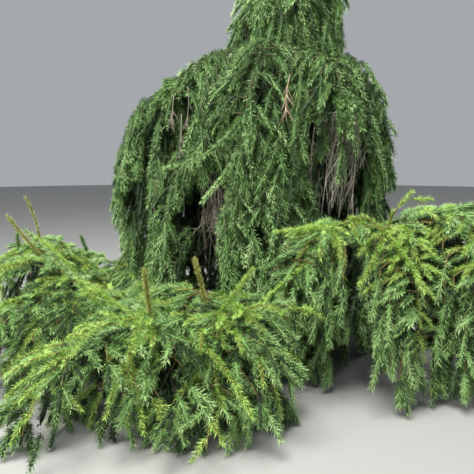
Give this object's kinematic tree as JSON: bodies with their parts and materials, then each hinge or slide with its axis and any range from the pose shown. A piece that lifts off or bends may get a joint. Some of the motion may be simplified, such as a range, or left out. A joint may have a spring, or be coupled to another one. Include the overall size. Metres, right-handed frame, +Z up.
{
  "type": "weeping norway spruce tree",
  "caption": "Weeping spruce: a leaning trunk under a domed crown of hanging curtains, one long low arm on the right and low limbs that sprawl out to the left and front.",
  "frame": {"origin": "middle of the flat cut under the trunk, at ground level", "axes": "+Z up along the trunk's foot, +X to the right as seen in the picture, -Y towards the viewer"},
  "size_m": [4.3657, 3.3868, 3.303],
  "materials": {
    "bark": "rough",
    "dead_twigs": "matt",
    "foliage": "matt",
    "shaded_foliage": "matt",
    "young_foliage": "matt"
  },
  "bodies": {
    "root": {"trunk": "bark", "bough_shoulder": "bark", "bough_arm_inner": "bark", "bough_arm_outer": "bark", "bough_sprawl_front": "bark", "bough_sprawl_front_left": "bark", "bough_sprawl_left_front": "bark", "bough_sprawl_left": "bark", "dead_twigs_left": "dead_twigs", "dead_twigs_right": "dead_twigs", "head_left": "young_foliage", "head_right": "young_foliage", "head_front": "young_foliage", "head_front_left": "young_foliage", "head_back": "young_foliage", "roof_1": "foliage", "roof_2": "foliage", "roof_3": "foliage", "roof_4": "foliage", "roof_5": "foliage", "roof_6": "foliage", "roof_7": "foliage", "curtain_upper_1": "foliage", "curtain_upper_2": "foliage", "curtain_upper_3": "foliage", "curtain_upper_4": "foliage", "curtain_upper_5": "foliage", "curtain_upper_6": "foliage", "curtain_upper_7": "foliage", "curtain_upper_8": "foliage", "curtain_upper_9": "foliage", "curtain_lower_1": "shaded_foliage", "curtain_lower_2": "shaded_foliage", "curtain_lower_3": "shaded_foliage", "curtain_lower_4": "shaded_foliage", "curtain_lower_5": "shaded_foliage", "curtain_lower_6": "shaded_foliage", "curtain_low_left_1": "shaded_foliage", "curtain_low_left_2": "shaded_foliage", "curtain_low_left_3": "shaded_foliage", "curtain_shoulder": "foliage", "arm_fall": "young_foliage", "arm_left": "young_foliage", "arm_left_low": "foliage", "arm_end": "young_foliage", "arm_end_front": "young_foliage", "arm_end_back": "foliage", "sprawl_front_inner": "young_foliage", "sprawl_front_1": "young_foliage", "sprawl_front_2": "young_foliage", "sprawl_front_left_inner": "young_foliage", "sprawl_front_left_1": "young_foliage", "sprawl_front_left_2": "young_foliage", "sprawl_front_left_3": "young_foliage", "sprawl_left_front_inner": "young_foliage", "sprawl_left_front_1": "young_foliage", "sprawl_left_front_2": "young_foliage", "sprawl_left_inner": "young_foliage", "sprawl_left_1": "young_foliage", "sprawl_left_2": "young_foliage"}
  },
  "joints": []
}
